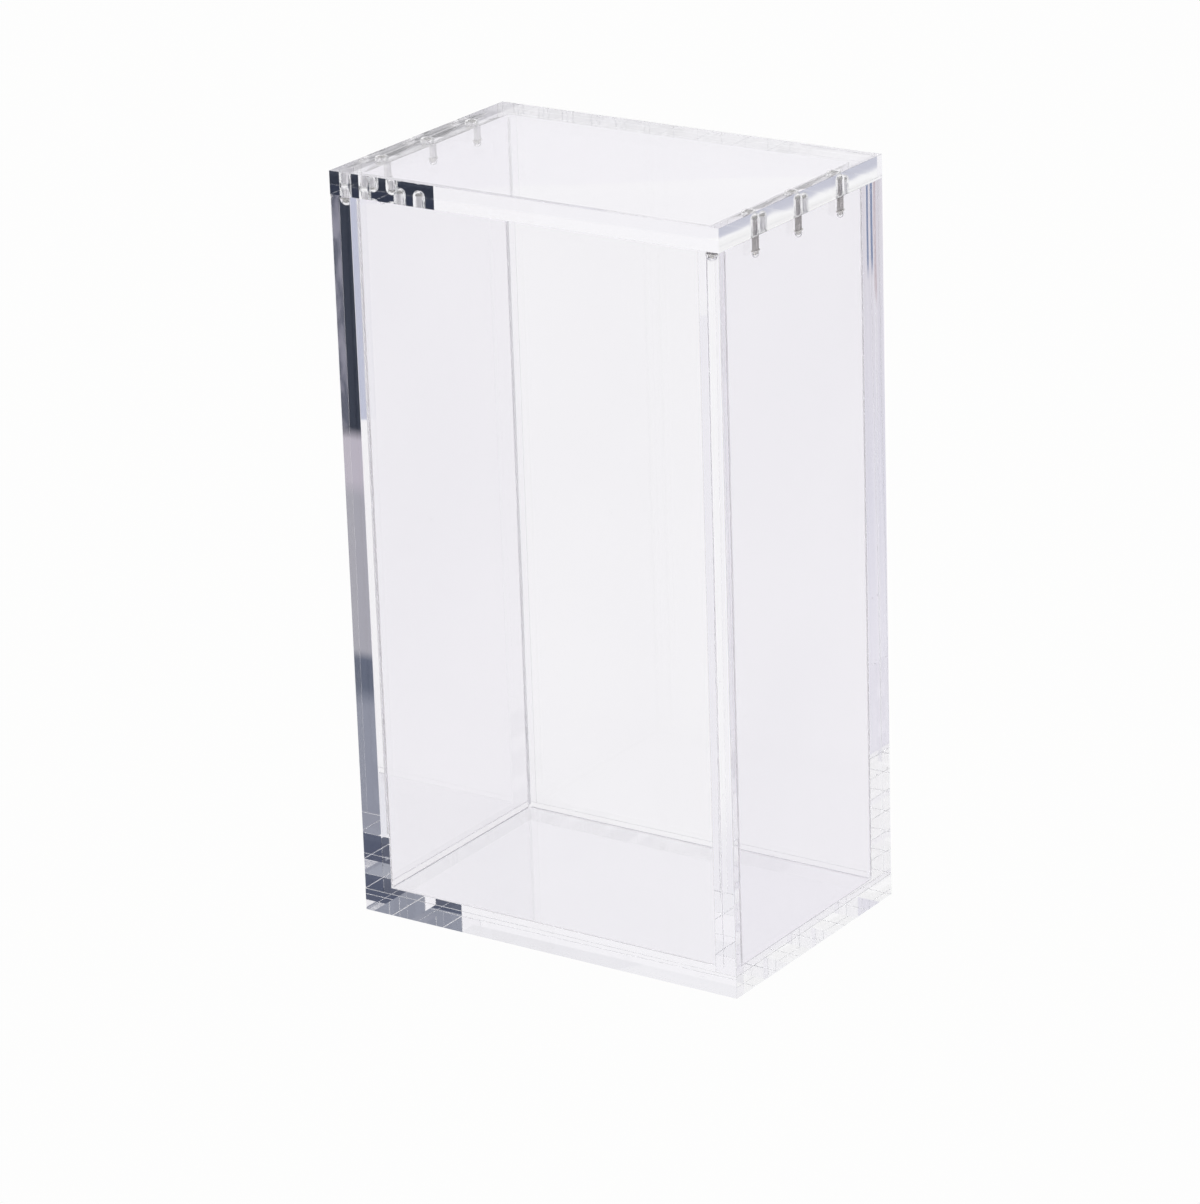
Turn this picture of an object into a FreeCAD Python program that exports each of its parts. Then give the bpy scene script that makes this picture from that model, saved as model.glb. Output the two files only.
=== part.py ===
import FreeCAD, Part
import math
import os
import Sketcher

# Clear acrylic display case for one booster box stood on end.
# Five cast-acrylic plates are solvent-welded into an open-topped box: the side
# walls run the full depth, the front and back panels stand between them, and all
# four stand on a full-size base plate.  A loose, flush lid plate closes the top.
# It is held down by six pairs of small rod magnets, one of each pair glued in a
# blind hole in a side wall's top edge and the other in the lid above it.
# Millimetres, +Z up, the front faces -Y, origin at the centre of the underside.

doc = FreeCAD.newDocument("AcrylicCase")

# --------------------------------------------------------------------------
# driving dimensions
# --------------------------------------------------------------------------
sheet = doc.addObject("Spreadsheet::Sheet", "Dims")
CELLS = [
    ("case_width", 86.0, "outside, left to right"),
    ("case_depth", 57.0, "outside, front to back"),
    ("case_height", 150.0, "outside, lid closed"),
    ("plate_thick", 4.5, "sheet thickness, the same for every plate"),
    ("seam_gap", 0.1, "air between the lid and the wall tops"),
    ("arris", 0.15, "eased edge on every plate"),
    ("magnet_dia", 2.0, "rod magnet"),
    ("magnet_len", 3.0, "rod magnet"),
    ("magnet_edge", 0.12, "broken edge of a magnet"),
    ("magnet_pitch", 14.8, "magnet to magnet, along the depth"),
    ("bore_dia", 2.6, "ball-ended magnet hole"),
    ("wall_bore_depth", 4.4, "to the round end, in the wall tops"),
    ("lid_bore_depth", 3.9, "to the round end, in the lid's underside"),
    ("bead_gap", 0.04, "between an adhesive bead and its hole"),
]
for row, (alias, value, note) in enumerate(CELLS, start=1):
    sheet.set("A%d" % row, alias.replace("_", " "))
    sheet.set("B%d" % row, "%g" % value)
    sheet.setAlias("B%d" % row, alias)
    sheet.set("C%d" % row, note)
doc.recompute()


def cell(alias):
    return float(sheet.get(alias))


def q(expression):
    """Write the sheet's aliases in an expression out in full."""
    for alias, _, _ in sorted(CELLS, key=lambda c: -len(c[0])):
        expression = expression.replace("#" + alias, "Dims." + alias)
    return expression


WIDTH = cell("case_width")
DEPTH = cell("case_depth")
HEIGHT = cell("case_height")
THICK = cell("plate_thick")
GAP = cell("seam_gap")
BORE_R = cell("bore_dia") / 2
BEAD_R = BORE_R - cell("bead_gap")

V = FreeCAD.Vector


# --------------------------------------------------------------------------
# helpers
# --------------------------------------------------------------------------
def new_body(label):
    body = doc.addObject("PartDesign::Body", label)
    body.Label = label
    return body


def origin(body, role):
    return next(f for f in body.Origin.OriginFeatures if f.Role == role)


def new_sketch(body, name, role):
    sk = body.newObject("Sketcher::SketchObject", name)
    sk.AttachmentSupport = [(origin(body, role), "")]
    sk.MapMode = "FlatFace"
    return sk


def name_and_bind(sk, index, name, expression):
    sk.renameConstraint(index, name)
    sk.setExpression("Constraints." + name, q(expression))


def centred_rectangle(sk, w, d, w_expr, d_expr):
    """A rectangle centred on the sketch's origin, with its two sizes bound."""
    a, b = w / 2, d / 2
    pts = [V(-a, -b, 0), V(a, -b, 0), V(a, b, 0), V(-a, b, 0)]
    for i in range(4):
        sk.addGeometry(Part.LineSegment(pts[i], pts[(i + 1) % 4]), False)
    for i in range(4):
        sk.addConstraint(Sketcher.Constraint("Coincident", i, 2, (i + 1) % 4, 1))
    for i in (0, 2):
        sk.addConstraint(Sketcher.Constraint("Horizontal", i))
    for i in (1, 3):
        sk.addConstraint(Sketcher.Constraint("Vertical", i))
    sk.addConstraint(Sketcher.Constraint("Symmetric", 0, 1, 2, 1, -1, 1))
    c = sk.addConstraint(Sketcher.Constraint("DistanceX", 0, 1, 0, 2, w))
    name_and_bind(sk, c, "width", w_expr)
    c = sk.addConstraint(Sketcher.Constraint("DistanceY", 1, 1, 1, 2, d))
    name_and_bind(sk, c, "depth", d_expr)


def place(body, x, y, z):
    for axis, expression in zip("xyz", (x, y, z)):
        if expression != "0":
            body.setExpression("Placement.Base." + axis, q(expression))


def plate(label, w_expr, d_expr, z_expr, w, d, z, where):
    """A sawn and polished plate with every edge eased."""
    body = new_body(label)
    sk = new_sketch(body, label + "_outline", "XY_Plane")
    centred_rectangle(sk, w, d, w_expr, d_expr)
    pad = body.newObject("PartDesign::Pad", label + "_slab")
    pad.Profile = sk
    pad.Length = z
    pad.setExpression("Length", q(z_expr))
    doc.recompute()
    ease = body.newObject("PartDesign::Chamfer", label + "_arris")
    ease.Base = (pad, ["Edge%d" % (i + 1) for i in range(len(pad.Shape.Edges))])
    ease.Size = cell("arris")
    ease.setExpression("Size", q("#arris"))
    body.Tip = ease
    place(body, *where)
    doc.recompute()
    return body


def bore_row(body, name, x_expr, mouth_expr, depth_expr, depth, down):
    """Three ball-ended blind holes in a row along the depth, at one x.

    The profile's own vertical axis is the hole's axis and its origin lies in
    the hole's mouth, on the front hole of the row.
    """
    before = body.Shape.Volume
    sk = new_sketch(body, name + "_profile", "XZ_Plane")
    sk.setExpression("AttachmentOffset.Base.x", q(x_expr))
    sk.setExpression("AttachmentOffset.Base.y", q(mouth_expr))
    sk.setExpression("AttachmentOffset.Base.z", q("#magnet_pitch"))
    s = -1.0 if down else 1.0
    straight = depth - BORE_R
    p0, p1, p2, p3 = V(0, 0, 0), V(BORE_R, 0, 0), V(BORE_R, s * straight, 0), V(0, s * depth, 0)
    sk.addGeometry(Part.LineSegment(p0, p1), False)  # 0 mouth
    sk.addGeometry(Part.LineSegment(p1, p2), False)  # 1 wall
    circle = Part.Circle(V(0, s * straight, 0), V(0, 0, 1), BORE_R)
    if down:
        sk.addGeometry(Part.ArcOfCircle(circle, -math.pi / 2, 0.0), False)
        arc_start, arc_end = 2, 1  # round end: from the wall to the axis
    else:
        sk.addGeometry(Part.ArcOfCircle(circle, 0.0, math.pi / 2), False)
        arc_start, arc_end = 1, 2
    sk.addGeometry(Part.LineSegment(p3, p0), False)  # 3 axis
    add = sk.addConstraint
    add(Sketcher.Constraint("Coincident", 0, 1, -1, 1))
    add(Sketcher.Constraint("Coincident", 0, 2, 1, 1))
    add(Sketcher.Constraint("Coincident", 1, 2, 2, arc_start))
    add(Sketcher.Constraint("Coincident", 2, arc_end, 3, 1))
    add(Sketcher.Constraint("Coincident", 3, 2, 0, 1))
    add(Sketcher.Constraint("Horizontal", 0))
    add(Sketcher.Constraint("Vertical", 1))
    add(Sketcher.Constraint("Vertical", 3))
    add(Sketcher.Constraint("PointOnObject", 2, 3, 3))
    add(Sketcher.Constraint("Horizontal", 2, 3, 1, 2))
    c = add(Sketcher.Constraint("DistanceX", 0, 1, 0, 2, BORE_R))
    name_and_bind(sk, c, "radius", "#bore_dia / 2")
    if down:
        c = add(Sketcher.Constraint("DistanceY", 3, 1, 3, 2, depth))
    else:
        c = add(Sketcher.Constraint("DistanceY", 3, 2, 3, 1, depth))
    name_and_bind(sk, c, "depth", depth_expr)
    doc.recompute()

    drill = body.newObject("PartDesign::Groove", name)
    drill.Profile = sk
    drill.ReferenceAxis = (sk, ["V_Axis"])
    drill.Angle = 360.0
    doc.recompute()
    row = body.newObject("PartDesign::LinearPattern", name + "_row")
    row.Originals = [drill]
    row.Direction = (origin(body, "Y_Axis"), [""])
    row.Length = 2 * cell("magnet_pitch")
    row.setExpression("Length", q("2 * #magnet_pitch"))
    row.Occurrences = 3
    body.Tip = row
    doc.recompute()

    one = math.pi * BORE_R**2 * (straight + 2.0 / 3.0 * BORE_R)
    cut = before - body.Shape.Volume
    if abs(cut - 3 * one) > 0.02 * one:
        raise RuntimeError("%s removes %.3f mm3, not %.3f" % (name, cut, 3 * one))


# --------------------------------------------------------------------------
# plates
# --------------------------------------------------------------------------
wall_h_expr = "#case_height - 2 * #plate_thick - #seam_gap"
wall_h = HEIGHT - 2 * THICK - GAP
inner_w_expr = "#case_width - 2 * #plate_thick"
side_x = "(#case_width - #plate_thick) / 2"
end_y = "(#case_depth - #plate_thick) / 2"

base_plate = plate(
    "base_plate", "#case_width", "#case_depth", "#plate_thick", WIDTH, DEPTH, THICK, ("0", "0", "0")
)
left_wall = plate(
    "left_wall", "#plate_thick", "#case_depth", wall_h_expr, THICK, DEPTH, wall_h, ("-" + side_x, "0", "#plate_thick")
)
right_wall = plate(
    "right_wall", "#plate_thick", "#case_depth", wall_h_expr, THICK, DEPTH, wall_h, (side_x, "0", "#plate_thick")
)
front_panel = plate(
    "front_panel", inner_w_expr, "#plate_thick", wall_h_expr,
    WIDTH - 2 * THICK, THICK, wall_h, ("0", "-" + end_y, "#plate_thick"),
)
back_panel = plate(
    "back_panel", inner_w_expr, "#plate_thick", wall_h_expr,
    WIDTH - 2 * THICK, THICK, wall_h, ("0", end_y, "#plate_thick"),
)
lid_plate = plate(
    "lid_plate", "#case_width", "#case_depth", "#plate_thick",
    WIDTH, DEPTH, THICK, ("0", "0", "#case_height - #plate_thick"),
)

# magnet holes: down into the wall tops, up into the lid's underside
for wall in (left_wall, right_wall):
    bore_row(wall, wall.Label + "_bores", "0", wall_h_expr, "#wall_bore_depth", cell("wall_bore_depth"), True)
bore_row(lid_plate, "lid_left_bores", "-" + side_x, "0", "#lid_bore_depth", cell("lid_bore_depth"), False)
bore_row(lid_plate, "lid_right_bores", side_x, "0", "#lid_bore_depth", cell("lid_bore_depth"), False)


# --------------------------------------------------------------------------
# rod magnets: the two of a pair meet halfway up the seam, so each stands half
# the seam gap proud of its plate and the lid rests on them
# --------------------------------------------------------------------------
def magnet(label, x_expr, y_expr, z_expr):
    body = new_body(label)
    sk = new_sketch(body, label + "_end", "XY_Plane")
    sk.addGeometry(Part.Circle(V(0, 0, 0), V(0, 0, 1), cell("magnet_dia") / 2), False)
    sk.addConstraint(Sketcher.Constraint("Coincident", 0, 3, -1, 1))
    c = sk.addConstraint(Sketcher.Constraint("Diameter", 0, cell("magnet_dia")))
    name_and_bind(sk, c, "diameter", "#magnet_dia")
    rod = body.newObject("PartDesign::Pad", label + "_rod")
    rod.Profile = sk
    rod.Length = cell("magnet_len")
    rod.setExpression("Length", q("#magnet_len"))
    doc.recompute()
    rims = [
        "Edge%d" % (i + 1)
        for i, e in enumerate(rod.Shape.Edges)
        if isinstance(e.Curve, Part.Circle)
    ]
    edge = body.newObject("PartDesign::Fillet", label + "_edge")
    edge.Base = (rod, rims)
    edge.Radius = cell("magnet_edge")
    edge.setExpression("Radius", q("#magnet_edge"))
    body.Tip = edge
    place(body, x_expr, y_expr, z_expr)
    doc.recompute()
    return body


meet = "#case_height - #plate_thick - #seam_gap / 2"
magnets = []
for side, x_expr in (("left", "-" + side_x), ("right", side_x)):
    for spot, y_expr in (("front", "-#magnet_pitch"), ("middle", "0"), ("rear", "#magnet_pitch")):
        magnets.append(magnet("wall_magnet_%s_%s" % (side, spot), x_expr, y_expr, meet + " - #magnet_len"))
        magnets.append(magnet("lid_magnet_%s_%s" % (side, spot), x_expr, y_expr, meet))


# --------------------------------------------------------------------------
# adhesive beads: one behind each magnet, filling the round end of its hole
# --------------------------------------------------------------------------
def beads(label, depth_expr, depth, down, z_expr):
    """Six cured beads; the part's frame has its origin in the holes' mouths."""
    body = new_body(label)
    body.AllowCompound = True
    s = -1.0 if down else 1.0
    seat = cell("magnet_len") - GAP / 2  # from the mouth to the magnet's inner end
    centre = depth - BORE_R  # from the mouth to the centre of the round end
    for side, x_expr in (("left", "-" + side_x), ("right", side_x)):
        sk = new_sketch(body, "%s_%s_profile" % (label, side), "XZ_Plane")
        sk.setExpression("AttachmentOffset.Base.x", q(x_expr))
        sk.setExpression("AttachmentOffset.Base.z", q("#magnet_pitch"))
        rise = seat - centre  # the magnet's end against the round end's centre
        if rise > 0:
            edge_r = (BEAD_R**2 - rise**2) ** 0.5
        else:
            edge_r = BEAD_R
        tip = centre + BEAD_R
        pts = [V(0, s * seat, 0), V(edge_r, s * seat, 0)]
        sk.addGeometry(Part.LineSegment(pts[0], pts[1]), False)  # 0 on the magnet
        circle = Part.Circle(V(0, s * centre, 0), V(0, 0, 1), BEAD_R)
        lift = math.asin(max(rise, 0.0) / BEAD_R)
        if down:
            sk.addGeometry(Part.ArcOfCircle(circle, -math.pi / 2, -lift), False)  # 1 round end
            a_side, a_tip = 2, 1
        else:
            sk.addGeometry(Part.ArcOfCircle(circle, lift, math.pi / 2), False)
            a_side, a_tip = 1, 2
        sk.addGeometry(Part.LineSegment(V(0, s * tip, 0), pts[0]), False)  # 2 axis
        add = sk.addConstraint
        add(Sketcher.Constraint("PointOnObject", 0, 1, -2))
        add(Sketcher.Constraint("Horizontal", 0))
        add(Sketcher.Constraint("Coincident", 1, a_tip, 2, 1))
        add(Sketcher.Constraint("Coincident", 2, 2, 0, 1))
        add(Sketcher.Constraint("PointOnObject", 1, 3, -2))
        add(Sketcher.Constraint("PointOnObject", 2, 1, -2))
        c = add(Sketcher.Constraint("Radius", 1, BEAD_R))
        name_and_bind(sk, c, "radius", "#bore_dia / 2 - #bead_gap")
        lo, hi = ((0, 1), (-1, 1)) if down else ((-1, 1), (0, 1))
        c = add(Sketcher.Constraint("DistanceY", lo[0], lo[1], hi[0], hi[1], seat))
        name_and_bind(sk, c, "seat", "#magnet_len - #seam_gap / 2")
        lo, hi = ((1, 3), (-1, 1)) if down else ((-1, 1), (1, 3))
        c = add(Sketcher.Constraint("DistanceY", lo[0], lo[1], hi[0], hi[1], centre))
        name_and_bind(sk, c, "centre", depth_expr + " - #bore_dia / 2")
        if rise > 0:
            add(Sketcher.Constraint("Coincident", 0, 2, 1, a_side))
        else:
            sk.addGeometry(Part.LineSegment(pts[1], V(BEAD_R, s * centre, 0)), False)  # 3 short wall
            add(Sketcher.Constraint("Coincident", 0, 2, 3, 1))
            add(Sketcher.Constraint("Coincident", 3, 2, 1, a_side))
            add(Sketcher.Constraint("Vertical", 3))
            add(Sketcher.Constraint("Horizontal", 1, 3, 3, 2))
        doc.recompute()
        bead = body.newObject("PartDesign::Revolution", "%s_%s" % (label, side))
        bead.Profile = sk
        bead.ReferenceAxis = (sk, ["V_Axis"])
        bead.Angle = 360.0
        doc.recompute()
        row = body.newObject("PartDesign::LinearPattern", "%s_%s_row" % (label, side))
        row.Originals = [bead]
        row.Direction = (origin(body, "Y_Axis"), [""])
        row.Length = 2 * cell("magnet_pitch")
        row.setExpression("Length", q("2 * #magnet_pitch"))
        row.Occurrences = 3
        body.Tip = row
        doc.recompute()
    place(body, "0", "0", z_expr)
    doc.recompute()
    if len(body.Shape.Solids) != 6:
        raise RuntimeError("%s has %d solids" % (label, len(body.Shape.Solids)))
    return body


wall_beads = beads(
    "wall_adhesive_beads", "#wall_bore_depth", cell("wall_bore_depth"), True, "#case_height - #plate_thick - #seam_gap"
)
lid_beads = beads(
    "lid_adhesive_beads", "#lid_bore_depth", cell("lid_bore_depth"), False, "#case_height - #plate_thick"
)

# --------------------------------------------------------------------------
# check everything, then write one file for each sub-part
# --------------------------------------------------------------------------
doc.recompute()
for obj in doc.Objects:
    if "Invalid" in obj.State or "Error" in obj.State:
        raise RuntimeError("%s is not built: %s" % (obj.Label, obj.State))
    if obj.isDerivedFrom("Sketcher::SketchObject") and not obj.FullyConstrained:
        raise RuntimeError("%s is not fully constrained" % obj.Label)

subparts = [base_plate, left_wall, right_wall, front_panel, back_panel, lid_plate]
subparts += magnets + [wall_beads, lid_beads]
for obj in subparts:
    shape = obj.Shape
    if shape.isNull() or not shape.isValid():
        raise RuntimeError("%s has no valid shape" % obj.Label)

os.makedirs("parts", exist_ok=True)
for obj in subparts:
    obj.Shape.exportStep("parts/%s.step" % obj.Label)
    b = obj.Shape.BoundBox
    print(
        "%-26s %2d solid(s) %10.3f mm3  x %7.2f %7.2f  y %7.2f %7.2f  z %7.2f %7.2f"
        % (obj.Label, len(obj.Shape.Solids), obj.Shape.Volume, b.XMin, b.XMax, b.YMin, b.YMax, b.ZMin, b.ZMax)
    )
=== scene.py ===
import math

import bmesh
import bpy
from mathutils import Matrix, Vector


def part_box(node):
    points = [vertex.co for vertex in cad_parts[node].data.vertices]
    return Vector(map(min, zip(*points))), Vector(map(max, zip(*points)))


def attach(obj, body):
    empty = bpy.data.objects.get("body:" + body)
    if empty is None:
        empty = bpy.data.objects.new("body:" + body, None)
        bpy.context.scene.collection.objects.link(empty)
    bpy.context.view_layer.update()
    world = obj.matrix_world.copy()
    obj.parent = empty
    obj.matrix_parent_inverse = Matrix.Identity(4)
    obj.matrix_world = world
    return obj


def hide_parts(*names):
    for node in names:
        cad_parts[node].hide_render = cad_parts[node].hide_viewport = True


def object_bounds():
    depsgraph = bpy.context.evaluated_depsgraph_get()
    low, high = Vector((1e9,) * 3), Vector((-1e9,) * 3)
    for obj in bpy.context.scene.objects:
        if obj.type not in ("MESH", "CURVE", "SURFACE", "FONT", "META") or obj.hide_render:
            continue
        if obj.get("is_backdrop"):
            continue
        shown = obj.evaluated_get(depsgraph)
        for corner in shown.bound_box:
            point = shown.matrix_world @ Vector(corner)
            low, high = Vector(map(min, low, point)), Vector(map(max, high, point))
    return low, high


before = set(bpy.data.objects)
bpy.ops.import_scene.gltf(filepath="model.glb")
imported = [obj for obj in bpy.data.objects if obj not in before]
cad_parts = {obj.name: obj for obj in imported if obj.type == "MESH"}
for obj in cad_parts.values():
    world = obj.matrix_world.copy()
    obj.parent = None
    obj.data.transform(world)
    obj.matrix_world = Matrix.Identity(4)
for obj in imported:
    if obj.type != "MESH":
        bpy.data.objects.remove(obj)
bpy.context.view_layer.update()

MM = 0.001
scene = bpy.context.scene

# --------------------------------------------------------------------------
# sizes, read from the frame
# --------------------------------------------------------------------------
base_lo, base_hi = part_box("base_plate")
left_lo, left_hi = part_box("left_wall")
right_lo, right_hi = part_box("right_wall")
front_lo, front_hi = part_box("front_panel")
back_lo, back_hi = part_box("back_panel")
lid_lo, lid_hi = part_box("lid_plate")

HEIGHT = lid_hi.z - base_lo.z
BASE_ARRIS = 0.05 * MM  # scraped edges of the plates
WALL_ARRIS = 0.12 * MM
PANEL_ARRIS = 0.07 * MM
LID_ARRIS = 0.02 * MM
BEAD = 0.42 * MM  # legs of the little fillets that the solvent leaves in the inside corners
HAIR = 0.01 * MM  # air left in a weld that the solvent did not fill
WET = 16.0 * MM  # height to which the solvent filled the left front weld
BORE_R = 1.3 * MM
WALL_BORE = 4.4 * MM
LID_BORE = 3.9 * MM
PITCH = 14.8 * MM
WALL_X = (right_lo.x + right_hi.x) / 2
SPOTS = (("front", -PITCH), ("middle", 0.0), ("rear", PITCH))


# --------------------------------------------------------------------------
# node helpers
# --------------------------------------------------------------------------
def new_material(name):
    mat = bpy.data.materials.new(name)
    mat.use_nodes = True
    tree = mat.node_tree
    tree.nodes.clear()
    out = tree.nodes.new("ShaderNodeOutputMaterial")
    return mat, tree, out


def node(tree, kind, **values):
    n = tree.nodes.new(kind)
    for key, value in values.items():
        setattr(n, key, value)
    return n


def feed(tree, value, socket):
    if isinstance(value, tuple):
        socket.default_value = (*value, 1.0) if len(socket.default_value) == 4 and len(value) == 3 else value
    elif isinstance(value, (int, float)):
        socket.default_value = value
    else:
        tree.links.new(value, socket)


def maths(tree, op, x, y=None):
    n = node(tree, "ShaderNodeMath", operation=op)
    feed(tree, x, n.inputs[0])
    if y is not None:
        feed(tree, y, n.inputs[1])
    return n.outputs[0]


def along(tree, vec, direction, origin=(0.0, 0.0, 0.0)):
    """Distance of a point from origin along a direction."""
    sub = node(tree, "ShaderNodeVectorMath", operation="SUBTRACT")
    feed(tree, vec, sub.inputs[0])
    sub.inputs[1].default_value = origin
    dot = node(tree, "ShaderNodeVectorMath", operation="DOT_PRODUCT")
    feed(tree, sub.outputs[0], dot.inputs[0])
    dot.inputs[1].default_value = direction
    return dot.outputs["Value"]


def smooth(tree, x, lo, hi, to_lo=0.0, to_hi=1.0):
    n = node(tree, "ShaderNodeMapRange", interpolation_type="SMOOTHSTEP")
    feed(tree, x, n.inputs["Value"])
    n.inputs["From Min"].default_value = lo
    n.inputs["From Max"].default_value = hi
    n.inputs["To Min"].default_value = to_lo
    n.inputs["To Max"].default_value = to_hi
    return n.outputs["Result"]


def between(tree, x, lo, hi, soft):
    return maths(tree, "MULTIPLY", smooth(tree, x, lo - soft, lo), smooth(tree, x, hi + soft, hi))


def ramp(tree, x, lo, hi, stops):
    """Colours at given values of x, between lo and hi."""
    m = node(tree, "ShaderNodeMapRange")
    feed(tree, x, m.inputs["Value"])
    m.inputs["From Min"].default_value = lo
    m.inputs["From Max"].default_value = hi
    r = node(tree, "ShaderNodeValToRGB")
    elements = r.color_ramp.elements
    while len(elements) < len(stops):
        elements.new(0.5)
    for e, (v, c) in zip(elements, stops):
        e.position = (v - lo) / (hi - lo)
        e.color = (*c, 1.0)
    tree.links.new(m.outputs["Result"], r.inputs["Fac"])
    return r.outputs["Color"]


def mix(tree, fac, x, y):
    m = node(tree, "ShaderNodeMix", data_type="RGBA")
    feed(tree, fac, m.inputs[0])
    feed(tree, x, m.inputs[6])
    feed(tree, y, m.inputs[7])
    return m.outputs[2]


# --------------------------------------------------------------------------
# materials
# --------------------------------------------------------------------------
def place(tree):
    """Where a point is on its piece, in metres."""
    return node(tree, "ShaderNodeTexCoord").outputs["Object"]


def noise(tree, where, scale, detail=2.0, stretch=None):
    n = node(tree, "ShaderNodeTexNoise")
    if stretch is not None:
        m = node(tree, "ShaderNodeMapping")
        m.inputs["Scale"].default_value = stretch
        tree.links.new(where, m.inputs["Vector"])
        where = m.outputs["Vector"]
    tree.links.new(where, n.inputs["Vector"])
    n.inputs["Scale"].default_value = scale
    n.inputs["Detail"].default_value = detail
    return n


def spots(tree, where, scale, radius):
    """Round spots: one in each cell of the given scale, where the surface comes within radius of it."""
    v = node(tree, "ShaderNodeTexVoronoi")
    tree.links.new(where, v.inputs["Vector"])
    v.inputs["Scale"].default_value = scale
    return smooth(tree, v.outputs["Distance"], radius * scale, radius * scale * 0.55)


def wavy(tree, where, scale, slope, detail=1.0):
    """The surface's normal, tilted a little this way and that."""
    n = noise(tree, where, scale, detail)
    centred = node(tree, "ShaderNodeVectorMath", operation="SUBTRACT")
    tree.links.new(n.outputs["Color"], centred.inputs[0])
    centred.inputs[1].default_value = (0.5, 0.5, 0.5)
    sized = node(tree, "ShaderNodeVectorMath", operation="SCALE")
    tree.links.new(centred.outputs[0], sized.inputs[0])
    sized.inputs["Scale"].default_value = slope
    added = node(tree, "ShaderNodeVectorMath", operation="ADD")
    tree.links.new(node(tree, "ShaderNodeNewGeometry").outputs["Normal"], added.inputs[0])
    tree.links.new(sized.outputs[0], added.inputs[1])
    unit = node(tree, "ShaderNodeVectorMath", operation="NORMALIZE")
    tree.links.new(added.outputs[0], unit.inputs[0])
    return unit.outputs[0]


def acrylic_material(name, clear, cloud, scale, wave, slope, rough, painted_reflection_tint=(1.0, 1.0, 1.0)):
    """Cast acrylic: clear, with a faint cool cloudiness, specks, a slow wave and hairline scratches."""
    mat, tree, out = new_material(name)
    where = place(tree)
    bsdf = node(tree, "ShaderNodeBsdfPrincipled")
    bsdf.inputs["IOR"].default_value = 1.49
    bsdf.inputs["Transmission Weight"].default_value = 1.0
    # tints the surface's reflections; a coloured tint here is painted reflection colour
    bsdf.inputs["Specular Tint"].default_value = (*painted_reflection_tint, 1.0)
    tone = mix(tree, smooth(tree, noise(tree, where, scale).outputs["Fac"], 0.35, 0.65), clear, cloud)
    tone = mix(tree, maths(tree, "MULTIPLY", spots(tree, where, 75.0, 0.00017), 0.85), tone, (0.35, 0.34, 0.34))
    tree.links.new(tone, bsdf.inputs["Base Color"])
    hair = noise(tree, where, 30.0, 1.0, (1.0, 37.0, 5.0)).outputs["Fac"]
    tree.links.new(smooth(tree, hair, 0.74, 0.80, rough[0], rough[1]), bsdf.inputs["Roughness"])
    tree.links.new(wavy(tree, where, wave, slope), bsdf.inputs["Normal"])
    tree.links.new(bsdf.outputs["BSDF"], out.inputs["Surface"])
    return mat


def matt_material(name, pale, grey, scale, rough, clear, bubbles=0.0):
    """Acrylic that isn't polished: a scraped edge, or the cloudy cement of a weld."""
    mat, tree, out = new_material(name)
    where = place(tree)
    bsdf = node(tree, "ShaderNodeBsdfPrincipled")
    bsdf.inputs["IOR"].default_value = 1.49
    bsdf.inputs["Transmission Weight"].default_value = clear
    streak = noise(tree, where, scale, 3.0).outputs["Fac"]
    tone = mix(tree, smooth(tree, streak, 0.3, 0.7), grey, pale)
    if bubbles:
        tone = mix(tree, spots(tree, where, 180.0, bubbles), tone, (0.5, 0.49, 0.5))
    tree.links.new(tone, bsdf.inputs["Base Color"])
    tree.links.new(smooth(tree, streak, 0.3, 0.7, rough[1], rough[0]), bsdf.inputs["Roughness"])
    tree.links.new(wavy(tree, where, scale * 2.0, 0.12, 2.0), bsdf.inputs["Normal"])
    tree.links.new(bsdf.outputs["BSDF"], out.inputs["Surface"])
    return mat


def weld_material(name):
    """A solvent weld: the two plates have become one, so it passes light straight, apart from tiny bubbles and a trace of haze."""
    mat, tree, out = new_material(name)
    where = place(tree)
    clear = node(tree, "ShaderNodeBsdfTransparent")
    haze = node(tree, "ShaderNodeBsdfPrincipled")
    tone = noise(tree, where, 900.0).outputs["Fac"]
    tree.links.new(mix(tree, tone, (0.62, 0.61, 0.64), (0.86, 0.85, 0.88)), haze.inputs["Base Color"])
    haze.inputs["Roughness"].default_value = 0.4
    share = node(tree, "ShaderNodeMixShader")
    bubbles = maths(tree, "MULTIPLY", spots(tree, where, 220.0, 0.00022), 0.6)
    film = smooth(tree, noise(tree, where, 160.0, 3.0).outputs["Fac"], 0.62, 0.85, 0.0, 0.012)
    tree.links.new(maths(tree, "MAXIMUM", bubbles, film), share.inputs[0])
    tree.links.new(clear.outputs["BSDF"], share.inputs[1])
    tree.links.new(haze.outputs["BSDF"], share.inputs[2])
    tree.links.new(share.outputs[0], out.inputs["Surface"])
    return mat


def nickel_material(name, dark, light, rough):
    """Nickel plating: fine turned lines, tarnish and rubbed places."""
    mat, tree, out = new_material(name)
    where = place(tree)
    bsdf = node(tree, "ShaderNodeBsdfPrincipled")
    bsdf.inputs["Metallic"].default_value = 1.0
    patch = noise(tree, where, 1400.0, 3.0).outputs["Fac"]
    line = noise(tree, where, 900.0, 2.0, (1.0, 1.0, 14.0)).outputs["Fac"]
    worn = maths(tree, "ADD", maths(tree, "MULTIPLY", patch, 0.65), maths(tree, "MULTIPLY", line, 0.35))
    tree.links.new(mix(tree, smooth(tree, worn, 0.36, 0.64), dark, light), bsdf.inputs["Base Color"])
    tree.links.new(smooth(tree, worn, 0.36, 0.64, rough[1], rough[0]), bsdf.inputs["Roughness"])
    tree.links.new(wavy(tree, where, 2500.0, 0.10, 2.0), bsdf.inputs["Normal"])
    tree.links.new(bsdf.outputs["BSDF"], out.inputs["Surface"])
    return mat


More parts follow.
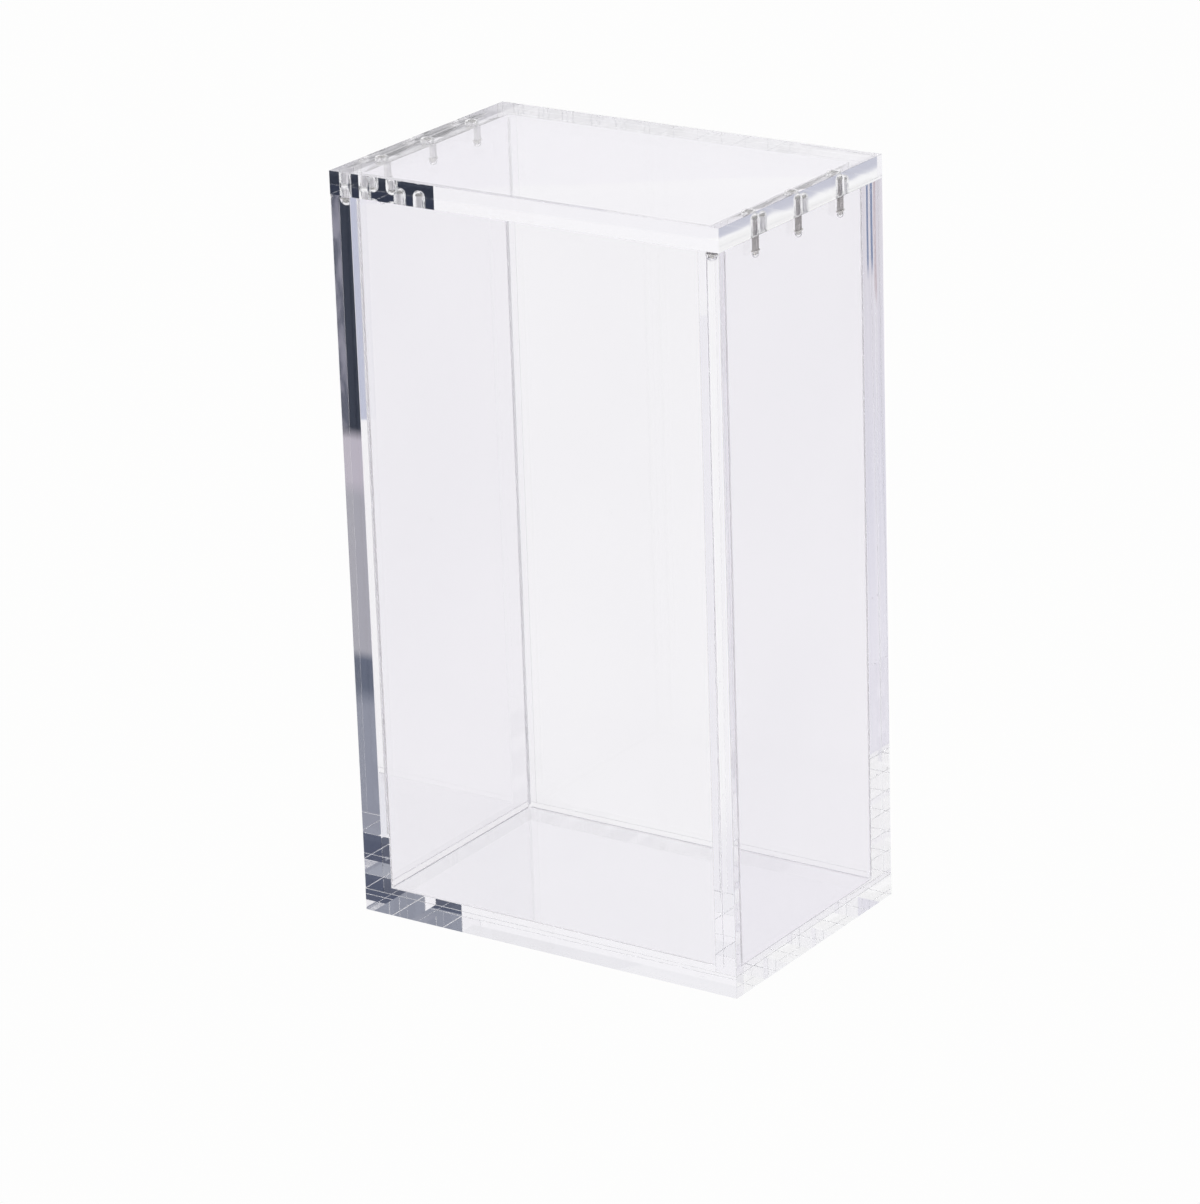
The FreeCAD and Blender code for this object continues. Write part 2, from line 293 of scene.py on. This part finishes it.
def adhesive_material(name):
    """Cured adhesive: cloudy, a little yellow, with small bubbles."""
    mat, tree, out = new_material(name)
    where = place(tree)
    bsdf = node(tree, "ShaderNodeBsdfPrincipled")
    bsdf.inputs["IOR"].default_value = 1.5
    bsdf.inputs["Transmission Weight"].default_value = 0.5
    cloud = noise(tree, where, 1100.0, 3.0).outputs["Fac"]
    tone = mix(tree, smooth(tree, cloud, 0.35, 0.65), (0.82, 0.81, 0.75), (0.92, 0.91, 0.88))
    tone = mix(tree, spots(tree, where, 1300.0, 0.00012), tone, (0.97, 0.97, 0.96))
    tree.links.new(tone, bsdf.inputs["Base Color"])
    tree.links.new(smooth(tree, cloud, 0.35, 0.65, 0.42, 0.22), bsdf.inputs["Roughness"])
    tree.links.new(wavy(tree, where, 1500.0, 0.20, 1.0), bsdf.inputs["Normal"])
    tree.links.new(bsdf.outputs["BSDF"], out.inputs["Surface"])
    return mat


SHEET = acrylic_material(
    "acrylic_sheet", (0.954, 0.949, 0.963), (0.945, 0.940, 0.955), 22.0, 45.0, 0.0012, (0.0, 0.03)
)
# the base plate: the same acrylic as the other plates with a darker tint, painted shade on the case floor and on all
# that is seen through it
SHADED_BASE_ACRYLIC = acrylic_material(
    "acrylic_painted_shade_base", (0.928, 0.920, 0.946), (0.918, 0.910, 0.938), 22.0, 45.0, 0.0012, (0.0, 0.03)
)
# the side walls: the same acrylic as the other plates with a darker tint, painted shade on the walls and on all that is
# seen through them
SHADED_WALL_ACRYLIC = acrylic_material(
    "acrylic_painted_shade_walls", (0.906, 0.893, 0.927), (0.896, 0.883, 0.919), 22.0, 45.0, 0.0012, (0.0, 0.03)
)
EDGE = acrylic_material(
    "acrylic_edge",
    (0.950, 0.947, 0.959),
    (0.936, 0.933, 0.947),
    140.0,
    60.0,
    0.002,
    (0.015, 0.06),
    # a blue tint on the polished edges' reflections: painted reflection colour
    (0.50, 0.58, 0.75),
)
# the side walls' edges: the same edge finish with a darker tint, painted shade
SHADED_WALL_EDGE = acrylic_material(
    "acrylic_painted_shade_wall_edges",
    (0.908, 0.898, 0.928),
    (0.895, 0.885, 0.917),
    140.0,
    60.0,
    0.002,
    (0.015, 0.06),
    # a blue tint on the walls' edge reflections: painted reflection colour
    (0.50, 0.58, 0.75),
)
DRILLED = acrylic_material(
    "acrylic_drilled", (0.965, 0.963, 0.972), (0.945, 0.942, 0.953), 300.0, 900.0, 0.01, (0.16, 0.30)
)
WELD = weld_material("acrylic_weld")
SCRAPED = matt_material("acrylic_scraped", (0.97, 0.97, 0.975), (0.90, 0.90, 0.92), 700.0, (0.40, 0.6), 0.5)
CEMENT = matt_material("acrylic_cement", (0.99, 0.988, 0.992), (0.955, 0.952, 0.962), 350.0, (0.3, 0.5), 0.5, 0.00016)
CEMENT_PALE = matt_material(
    "acrylic_cement_pale", (0.99, 0.988, 0.992), (0.94, 0.937, 0.947), 350.0, (0.35, 0.55), 0.15, 0.00016
)
# the same nickel plating twice: a dark copy, painted shade, for the right magnets, and a pale copy, painted light, for
# the left ones
MAGNET_METAL_SHADED = nickel_material("nickel_plate", (0.34, 0.32, 0.32), (0.48, 0.46, 0.46), (0.25, 0.42))
MAGNET_METAL_LIT = nickel_material("magnet_metal_painted_light", (0.78, 0.77, 0.78), (0.90, 0.89, 0.90), (0.40, 0.6))
ADHESIVE = adhesive_material("cured_adhesive")


# --------------------------------------------------------------------------
# plates
# --------------------------------------------------------------------------
def lathe(profile, centre, segments):
    """A closed solid turned about the vertical line through centre: profile is (radius, z) from the axis to the axis."""
    bm = bmesh.new()
    rings = []
    for r, z in profile:
        if r < 1e-9:
            rings.append([bm.verts.new((centre[0], centre[1], z))])
        else:
            rings.append(
                [
                    bm.verts.new(
                        (
                            centre[0] + r * math.cos(2 * math.pi * i / segments),
                            centre[1] + r * math.sin(2 * math.pi * i / segments),
                            z,
                        )
                    )
                    for i in range(segments)
                ]
            )
    for a, b in zip(rings, rings[1:]):
        for i in range(segments):
            j = (i + 1) % segments
            quad = [a[i % len(a)], a[j % len(a)], b[j % len(b)], b[i % len(b)]]
            bm.faces.new(list(dict.fromkeys(quad)))
    bmesh.ops.recalc_face_normals(bm, faces=bm.faces)
    return bm


def capsule_profile(mouth, depth, direction, over):
    """A ball-ended hole's profile, from past its mouth to the bottom of its round end."""
    s = direction
    pts = [(0.0, mouth - s * over), (BORE_R, mouth - s * over), (BORE_R, mouth + s * (depth - BORE_R))]
    steps = 14
    for k in range(1, steps):
        a = math.pi / 2 * k / steps
        pts.append((BORE_R * math.cos(a), mouth + s * (depth - BORE_R + BORE_R * math.sin(a))))
    pts.append((0.0, mouth + s * depth))
    return pts


def object_from(bm, name):
    mesh = bpy.data.meshes.new(name)
    bm.to_mesh(mesh)
    bm.free()
    obj = bpy.data.objects.new(name, mesh)
    scene.collection.objects.link(obj)
    return obj


def slab(name, lo, hi, arris, eased, cuts=()):
    """A plate; eased(axis, side) says which edges are scraped, by the way they run and the sides they lie on (-1, 0, 1).

    cuts are (axis, position) planes that divide its faces along the welds.
    """
    bm = bmesh.new()
    bmesh.ops.create_cube(bm, size=1.0)
    chosen = []
    for e in bm.edges:
        mid = (e.verts[0].co + e.verts[1].co) / 2
        side = tuple(0 if abs(v) < 0.1 else 1 if v > 0 else -1 for v in mid)
        if eased(side.index(0), side):
            chosen.append(e)
    size, mid = hi - lo, (hi + lo) / 2
    for v in bm.verts:
        v.co = Vector((v.co[i] * size[i] + mid[i] for i in range(3)))
    bmesh.ops.bevel(bm, geom=chosen, offset=arris, segments=1, profile=0.5, affect="EDGES")
    for axis, position in cuts:
        no = Vector((0, 0, 0))
        no[axis] = 1.0
        bmesh.ops.bisect_plane(
            bm, geom=bm.verts[:] + bm.edges[:] + bm.faces[:], dist=1e-8, plane_co=no * position, plane_no=no
        )
    bmesh.ops.recalc_face_normals(bm, faces=bm.faces)
    return object_from(bm, name)


def drill(obj, places, mouth, depth, direction):
    """Cut ball-ended blind holes."""
    cutters = []
    for k, (x, y) in enumerate(places):
        c = object_from(lathe(capsule_profile(mouth, depth, direction, 1.0 * MM), (x, y), 56), "cutter%d" % k)
        cutters.append(c)
        m = obj.modifiers.new("hole%d" % k, "BOOLEAN")
        m.operation = "DIFFERENCE"
        m.solver = "EXACT"
        m.object = c
    bpy.context.view_layer.update()
    dg = bpy.context.evaluated_depsgraph_get()
    mesh = bpy.data.meshes.new_from_object(obj.evaluated_get(dg))
    obj.modifiers.clear()
    old = obj.data
    obj.data = mesh
    mesh.name = obj.name
    bpy.data.meshes.remove(old)
    for c in cutters:
        m = c.data
        bpy.data.objects.remove(c)
        bpy.data.meshes.remove(m)


def finish_plate(obj, node_name, body, thin, welded, holes=(), filled=False, sheet=SHEET, edge=EDGE, scraped=SCRAPED, beaded=None):
    """Give each face its material: thin is the axis across the sheet, welded(centre, normal) says which faces are bonded."""
    mesh = obj.data
    mesh.materials.clear()
    for mat in (sheet, edge, WELD, scraped, CEMENT, DRILLED):
        mesh.materials.append(mat)
    for p in mesh.polygons:
        c, n = p.center, p.normal
        flat = max(abs(v) for v in n) > 0.99
        p.material_index = 2 if welded(c, n) else 0 if abs(n[thin]) > 0.99 else 1 if flat else 3
        if beaded is not None and beaded(c, n):
            p.material_index = 4
        p.use_smooth = False
        for x, y, z0, z1 in holes:
            if math.hypot(c.x - x, c.y - y) < BORE_R * 0.9999 and min(z0, z1) - 1e-6 < c.z < max(z0, z1) + 1e-6:
                p.use_smooth = True
                p.material_index = 2 if filled and abs(n.z) < 1e-3 else 5
    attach(obj, body)
    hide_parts(node_name)


# base: the four walls stand on the rim of its top face
base = slab(
    "base_plate_piece",
    base_lo,
    base_hi,
    BASE_ARRIS,
    lambda axis, side: True,
    [(0, left_hi.x), (0, right_lo.x), (1, front_hi.y), (1, back_lo.y)],
)
finish_plate(
    base,
    "base_plate",
    "case",
    2,
    lambda c, n: n.z > 0.99 and (c.x < left_hi.x or c.x > right_lo.x or c.y < front_hi.y or c.y > back_lo.y),
    # the base takes the darker-tinted copy of the sheet: painted shade
    sheet=SHADED_BASE_ACRYLIC,
)

# side walls: bonded below and along the back panel; the front panel is bonded only at the foot of its left end
for name, lo, hi, sign in (("left_wall", left_lo, left_hi, 1.0), ("right_wall", right_lo, right_hi, -1.0)):
    wall = slab(
        name + "_piece",
        lo,
        hi,
        WALL_ARRIS,
        lambda axis, side, sign=sign: side[2] < 1 and (axis == 0 or side[0] == -sign),
        [(1, front_hi.y), (1, back_lo.y), (1, front_hi.y + BEAD), (1, back_lo.y - BEAD), (2, WET)],
    )
    x = (lo.x + hi.x) / 2
    drill(wall, [(x, y) for _, y in SPOTS], hi.z, WALL_BORE, -1.0)
    finish_plate(
        wall,
        name,
        "case",
        0,
        lambda c, n, sign=sign: n.z < -0.99
        or (n.x * sign > 0.99 and (c.y > back_lo.y or (c.y < front_hi.y and c.z < WET and sign > 0))),
        [(x, y, hi.z, hi.z - WALL_BORE) for _, y in SPOTS],
        filled=True,
        # the walls take the darker-tinted copies of the sheet and edges: painted shade
        sheet=SHADED_WALL_ACRYLIC,
        edge=SHADED_WALL_EDGE,
        beaded=lambda c, n, sign=sign: n.x * sign > 0.99
        and (front_hi.y < c.y < front_hi.y + BEAD or back_lo.y - BEAD < c.y < back_lo.y),
    )

# front and back panels: between the side walls, bonded below
for name, lo, hi, gap, face in (
    ("front_panel", front_lo, front_hi, HAIR, -1),
    ("back_panel", back_lo, back_hi, 0.0, 1),
):
    panel = slab(
        name + "_piece",
        lo + Vector((gap, 0, 0)),
        hi - Vector((gap, 0, 0)),
        PANEL_ARRIS,
        lambda axis, side, face=face: side[2] < 1 and side[1] == face,
        [(2, WET)],
    )
    finish_plate(
        panel,
        name,
        "case",
        1,
        lambda c, n, gap=gap: n.z < -0.99 or (abs(n.x) > 0.99 and (gap == 0.0 or (c.x < 0 and c.z < WET))),
    )

# lid: loose, so none of it is bonded
lid_foot = Vector((lid_lo.x, lid_lo.y, left_hi.z + HAIR))  # it lies on the walls, with no more than a film of air between
lid = slab("lid_plate_piece", lid_foot, lid_hi, LID_ARRIS, lambda axis, side: True)
lid_spots = [(x, y) for x in (-WALL_X, WALL_X) for _, y in SPOTS]
drill(lid, lid_spots, lid_lo.z, LID_BORE, 1.0)
finish_plate(
    lid,
    "lid_plate",
    "lid",
    2,
    lambda c, n: False,
    [(x, y, lid_foot.z, lid_lo.z + LID_BORE) for x, y in lid_spots],
    scraped=EDGE,
)


# --------------------------------------------------------------------------
# weld fillets: hollow-faced beads along the inside corners
# --------------------------------------------------------------------------
def bead(bm, start, end, u, v, leg, seed, slot=0):
    """A hollow-faced fillet along start-end; u and v point along the two faces it lies on. Its legs vary a little."""
    run = end - start
    count = max(8, int(run.length / (3.0 * MM)))
    rings = []
    for k in range(count + 1):
        f = k / count
        w = 1.0 + 0.05 * math.sin(seed + 9.0 * f * run.length / 0.05) + 0.03 * math.sin(2.7 * seed + 31.0 * f * run.length / 0.05)
        a = leg * w
        c = start + run * f + (u + v) * (0.006 * MM)
        ring = [c, c + u * a]
        for i in range(1, 5):
            t = math.pi / 2 * i / 5
            ring.append(c + u * a * (1 - math.sin(t)) + v * a * (1 - math.cos(t)))
        ring.append(c + v * a)
        rings.append([bm.verts.new(p) for p in ring])
    n = len(rings[0])
    for a, b in zip(rings, rings[1:]):
        for i in range(n):
            j = (i + 1) % n
            bm.faces.new((a[i], a[j], b[j], b[i])).material_index = slot
    for ring in (rings[0], rings[-1]):
        bm.faces.new(ring).material_index = slot


bm = bmesh.new()
X, Y, Z = Vector((1, 0, 0)), Vector((0, 1, 0)), Vector((0, 0, 1))
z0, z1 = base_hi.z, left_hi.z
for sx, wx in ((1.0, left_hi.x), (-1.0, right_lo.x)):
    for sy, wy in ((1.0, front_hi.y), (-1.0, back_lo.y)):
        bead(
            bm,
            Vector((wx, wy, z0 + 0.6 * MM)),
            Vector((wx, wy, z1 - 0.5 * MM)),
            X * sx,
            Y * sy,
            BEAD * (1.5 if sx < 0 and sy > 0 else 1.0),
            sx + 2.0 * sy,
        )
for sx, wx in ((1.0, left_hi.x), (-1.0, right_lo.x)):
    bead(
        bm,
        Vector((wx, front_hi.y + 0.6 * MM, z0)),
        Vector((wx, back_lo.y - 0.6 * MM, z0)),
        X * sx,
        Z,
        BEAD * 0.45,
        5.0 + sx,
        1,
    )
for sy, wy in ((1.0, front_hi.y), (-1.0, back_lo.y)):
    bead(
        bm,
        Vector((left_hi.x + 0.6 * MM, wy, z0)),
        Vector((right_lo.x - 0.6 * MM, wy, z0)),
        Y * sy,
        Z,
        BEAD * 0.45,
        8.0 + sy,
        1,
    )
bmesh.ops.recalc_face_normals(bm, faces=bm.faces)
beads = object_from(bm, "weld_fillets_piece")
for p in beads.data.polygons:
    p.use_smooth = False
beads.data.materials.append(CEMENT)
beads.data.materials.append(CEMENT_PALE)  # along the base
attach(beads, "case")


# --------------------------------------------------------------------------
# magnets and adhesive beads
# --------------------------------------------------------------------------
def rod_profile(r, z0, z1, edge):
    pts = [(0.0, z0)]
    steps = 4
    for k in range(steps + 1):
        a = math.pi / 2 * k / steps
        pts.append((r - edge + edge * math.sin(a), z0 + edge - edge * math.cos(a)))
    for k in range(steps + 1):
        a = math.pi / 2 * k / steps
        pts.append((r - edge + edge * math.cos(a), z1 - edge + edge * math.sin(a)))
    pts.append((0.0, z1))
    return pts


for side in ("left", "right"):
    for spot, _ in SPOTS:
        for where, body in (("wall", "case"), ("lid", "lid")):
            n = "%s_magnet_%s_%s" % (where, side, spot)
            lo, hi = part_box(n)
            mid = (lo + hi) / 2
            obj = object_from(lathe(rod_profile(1.0 * MM, lo.z, hi.z, 0.12 * MM), (mid.x, mid.y), 48), n + "_piece")
            for p in obj.data.polygons:
                p.use_smooth = abs(p.normal.z) < 0.999
            # the left magnets get the pale copy of the plating, painted light; the right ones the dark copy, painted
            # shade
            obj.data.materials.append(MAGNET_METAL_LIT if side == "left" else MAGNET_METAL_SHADED)
            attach(obj, body)
            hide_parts(n)

for n in ("wall_adhesive_beads", "lid_adhesive_beads"):
    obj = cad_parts[n]
    obj.data.materials.clear()
    obj.data.materials.append(ADHESIVE)

# --------------------------------------------------------------------------
# camera: fitted to the photograph's corners, no shift
# --------------------------------------------------------------------------
AZ, EL, ROLL = 34.2145, 20.0019, -1.9014
DIST, TX, TY, FOCAL = 6.58065, 0.022120, 0.077243, 5156.52
az, el, roll = (math.radians(v) for v in (AZ, EL, ROLL))
back = Vector((math.sin(az) * math.cos(el), -math.cos(az) * math.cos(el), math.sin(el)))
right = Vector((math.cos(az), math.sin(az), 0.0))
up = back.cross(right)
right, up = right * math.cos(roll) + up * math.sin(roll), up * math.cos(roll) - right * math.sin(roll)
cam_data = bpy.data.cameras.new("camera")
cam = bpy.data.objects.new("camera", cam_data)
scene.collection.objects.link(cam)
target = Vector((0.0, 0.0, HEIGHT / 2))
eye = target - (right * TX + up * TY - back * DIST) * HEIGHT
cam.matrix_world = Matrix.Translation(eye) @ Matrix((right, up, back)).transposed().to_4x4()
cam_data.sensor_fit = "AUTO"
cam_data.sensor_width = 36.0
cam_data.lens = 36.0 * FOCAL / 1204.0
cam_data.clip_start, cam_data.clip_end = 0.01, 100.0
scene.camera = cam


# --------------------------------------------------------------------------
# stage: a plain pale table, a pale backdrop, and cards out of the camera's sight for the plates to reflect
# --------------------------------------------------------------------------
PAPER = (0.985, 0.985, 0.983)
NAVY = (0.002, 0.004, 0.014)
COAL = (0.10, 0.115, 0.16)
STEEL = (0.27, 0.285, 0.34)
ASH = (0.39, 0.385, 0.42)
LILAC = (0.51, 0.475, 0.53)


def card(name, corners, mat, camera=False):
    mesh = bpy.data.meshes.new(name)
    mesh.from_pydata([tuple(c) for c in corners], [], [(0, 1, 2, 3)])
    mesh.materials.append(mat)
    obj = bpy.data.objects.new(name, mesh)
    scene.collection.objects.link(obj)
    obj.visible_camera = camera
    obj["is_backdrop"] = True
    return obj


def card_material(name, tones, reflections=None, most=99):
    """An even, glowing card. With reflections, it is seen only by light that the plates have reflected that often, up to most."""
    mat, tree, out = new_material(name)
    pos = node(tree, "ShaderNodeNewGeometry").outputs["Position"]
    em = node(tree, "ShaderNodeEmission")
    tone = tones(tree, pos) if callable(tones) else tones
    feed(tree, tone, em.inputs["Color"])
    shader = em.outputs["Emission"]
    if reflections is not None:
        clear = node(tree, "ShaderNodeBsdfTransparent")
        select = node(tree, "ShaderNodeMixShader")
        depth = node(tree, "ShaderNodeLightPath").outputs["Glossy Depth"]
        enough = maths(tree, "GREATER_THAN", depth, reflections - 0.5)
        tree.links.new(maths(tree, "MULTIPLY", enough, maths(tree, "LESS_THAN", depth, most + 0.5)), select.inputs[0])
        tree.links.new(clear.outputs[0], select.inputs[1])
        tree.links.new(shader, select.inputs[2])
        shader = select.outputs[0]
    tree.links.new(shader, out.inputs["Surface"])
    return mat


def upright(name, a, b, z0, z1, mat):
    return card(name, [(a[0], a[1], z0), (b[0], b[1], z0), (b[0], b[1], z1), (a[0], a[1], z1)], mat)


def flat(name, x0, y0, x1, y1, z, mat, camera=False):
    return card(name, [(x0, y0, z), (x1, y0, z), (x1, y1, z), (x0, y1, z)], mat, camera)


floor_z = -0.0004
flat("stage_floor", -30, -30, 30, 30, floor_z, card_material("stage_table", PAPER), True)

# a pale backdrop behind the case
ahead = Vector((-math.sin(az), math.cos(az)))
aside = Vector((math.cos(az), math.sin(az)))
def backdrop_tones(tree, pos):
    z = along(tree, pos, (0.0, 0.0, 1.0))
    return mix(tree, smooth(tree, z, 0.20, 0.30), (0.945, 0.938, 0.960), (0.985, 0.978, 0.995))


upright(
    "stage_backdrop",
    ahead * 0.52 - aside * 0.60,
    ahead * 0.52 + aside * 0.16,
    0.0,
    0.30,
    card_material("stage_backdrop", backdrop_tones),
)

# dark flags at the back right: t runs the way that light leaves the back of the left wall, p across it
corner = Vector((-0.041, 0.0285))
way = Vector((0.606, 0.795))
across = Vector((0.795, -0.606))
near = corner + way * 0.275
upright(
    "stage_flag_right", near - across * 0.040, near + across * 0.0245, 0.0, 0.105, card_material("stage_flag_navy", NAVY, 2)
)
upright(
    "stage_flag_blue",
    near + across * 0.0280,
    near + across * 0.0350,
    0.0,
    0.16,
    card_material("stage_flag_blue", (0.50, 0.53, 0.66), 1),
)


# a card in grey steps close behind the left wall's rear edge
def edge_tones(tree, pos):
    x = along(tree, pos, (1.0, 0.0, 0.0))
    z = along(tree, pos, (0.0, 0.0, 1.0))
    tone = ramp(
        tree,
        z,
        0.0,
        0.1,
        [
            (0.0275, STEEL),
            (0.0315, COAL),
            (0.0375, COAL),
            (0.0395, ASH),
            (0.0720, ASH),
            (0.0755, LILAC),
            (0.0840, LILAC),
            (0.0865, NAVY),
        ],
    )
    side = smooth(tree, x, -0.0381, -0.0377)
    grain = noise(tree, pos, 1.0, 3.0, (300.0, 1.0, 160.0)).outputs["Fac"]
    high = smooth(tree, z, 0.084, 0.088)
    pale = mix(tree, smooth(tree, grain, 0.40, 0.62), (0.07, 0.075, 0.11), (0.24, 0.235, 0.29))
    return mix(tree, maths(tree, "MULTIPLY", side, high), tone, pale)


upright("stage_card_edge", (-0.0434, 0.0292), (-0.0330, 0.0292), 0.0046, 0.1453, card_material("stage_card_edge", edge_tones, 4))


# a grey-blue card far to the left, on the table
def far_tones(tree, pos):
    x = along(tree, pos, (1.0, 0.0, 0.0))
    return mix(tree, smooth(tree, x, -0.3225, -0.3205), (0.53, 0.54, 0.63), (0.66, 0.665, 0.74))


flat("stage_card_far_left", -0.40, -0.62, -0.3203, -0.15, floor_z + 0.0002, card_material("stage_card_far_left", far_tones, 2))


# the shade round the foot
def foot_tones(tree, pos):
    y = along(tree, pos, (0.0, 1.0, 0.0))
    return mix(tree, smooth(tree, y, 0.045, 0.085), (0.865, 0.86, 0.885), PAPER)


flat("stage_card_foot", -0.060, 0.0286, 0.045, 0.085, floor_z + 0.0002, card_material("stage_card_foot", foot_tones, 2))
flat(
    "stage_card_foot_grey",
    -0.043,
    0.0286,
    -0.017,
    0.045,
    floor_z + 0.0003,
    card_material("stage_card_foot_grey", (0.29, 0.30, 0.355), 5),
)
flat(
    "stage_card_foot_patch",
    -0.0270,
    0.0286,
    -0.0180,
    0.0370,
    floor_z + 0.0003,
    card_material("stage_card_foot_patch", (0.34, 0.355, 0.41), 3, 3),
)
right_a, right_b = corner + way * 0.02, corner + way * 0.45
card(
    "stage_card_right",
    [
        (*(right_a + across * 0.026), floor_z + 0.0002),
        (*(right_a + across * 0.070), floor_z + 0.0002),
        (*(right_b + across * 0.070), floor_z + 0.0002),
        (*(right_b + across * 0.026), floor_z + 0.0002),
    ],
    card_material("stage_card_right", (0.925, 0.92, 0.94), 2),
)

# the table under the case is in shade, but for its left side
flat(
    "stage_card_under",
    -0.024,
    base_lo.y,
    base_hi.x,
    base_hi.y,
    floor_z + 0.0002,
    card_material("stage_card_under", (0.70, 0.69, 0.73), 11),
)


# a grey card close to the back of the left side, for what the back panel leads out there
def left_tones(tree, pos):
    y = along(tree, pos, (0.0, 1.0, 0.0))
    z = along(tree, pos, (0.0, 0.0, 1.0))
    tone = ramp(
        tree,
        z,
        0.0,
        0.13,
        [(0.0, (0.84, 0.83, 0.88)), (0.030, (0.81, 0.80, 0.86)), (0.060, (0.72, 0.715, 0.79)), (0.128, (0.68, 0.655, 0.70))],
    )
    streaks = noise(tree, pos, 1.0, 2.0, (1.0, 900.0, 6.0)).outputs["Fac"]
    tone = mix(tree, smooth(tree, streaks, 0.35, 0.70, 0.0, 0.5), tone, (0.92, 0.91, 0.95))
    high = smooth(tree, z, 0.1055, 0.1115)
    tone = mix(tree, maths(tree, "MULTIPLY", between(tree, y, 0.0266, 0.0288, 0.0002), high), tone, (0.10, 0.16, 0.32))
    high = smooth(tree, z, 0.099, 0.105)
    return mix(tree, maths(tree, "MULTIPLY", between(tree, y, 0.0255, 0.0260, 0.0003), high), tone, (0.50, 0.39, 0.42))


upright("stage_card_left", (-0.0437, 0.0190), (-0.0437, 0.0300), 0.0050, 0.1450, card_material("stage_card_left", left_tones, 11))

world = bpy.data.worlds.new("studio")
scene.world = world
world.use_nodes = True
tree = world.node_tree
tree.nodes.clear()
out = node(tree, "ShaderNodeOutputWorld")
bg = node(tree, "ShaderNodeBackground")
ray = node(tree, "ShaderNodeTexCoord").outputs["Generated"]
bearing = maths(  # from straight behind the case, to the right
    tree,
    "ARCTAN2",
    along(tree, ray, (aside.x, aside.y, 0.0)),
    along(tree, ray, (ahead.x, ahead.y, 0.0)),
)
DEG = math.pi / 180
BRIGHT = (0.96, 0.95, 0.975)
WHITE = (0.985, 0.985, 0.985)
DIM = (0.40, 0.40, 0.44)
SLATE = (0.065, 0.075, 0.120)
height = along(tree, ray, (0.0, 0.0, 1.0))
dark = mix(tree, smooth(tree, height, 0.29, 0.35), (0.004, 0.007, 0.025), SLATE)
around = ramp(
    tree,
    bearing,
    -math.pi,
    math.pi,
    [
        (-180 * DEG, DIM),
        (-155 * DEG, DIM),
        (-140 * DEG, WHITE),
        (-75 * DEG, WHITE),
        (-55 * DEG, BRIGHT),
        (130 * DEG, BRIGHT),
        (150 * DEG, DIM),
        (180 * DEG, DIM),
    ],
)
around = mix(tree, between(tree, bearing, 48 * DEG, 100 * DEG, 6 * DEG), around, dark)
sky = mix(tree, smooth(tree, height, 0.62, 0.85), around, (1.0, 1.0, 1.0))
sky = mix(tree, node(tree, "ShaderNodeLightPath").outputs["Is Camera Ray"], sky, PAPER)  # seen directly, it is as white as the table
tree.links.new(sky, bg.inputs["Color"])
tree.links.new(bg.outputs["Background"], out.inputs["Surface"])

scene.view_settings.view_transform = "Standard"
scene.view_settings.look = "None"
scene.cycles.max_bounces = 96
scene.cycles.diffuse_bounces = 6
scene.cycles.glossy_bounces = 64
scene.cycles.transmission_bounces = 96
scene.cycles.transparent_max_bounces = 96
scene.cycles.caustics_reflective = True
scene.cycles.caustics_refractive = True
scene.cycles.blur_glossy = 0.0
scene.cycles.use_denoising = True

lo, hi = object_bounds()
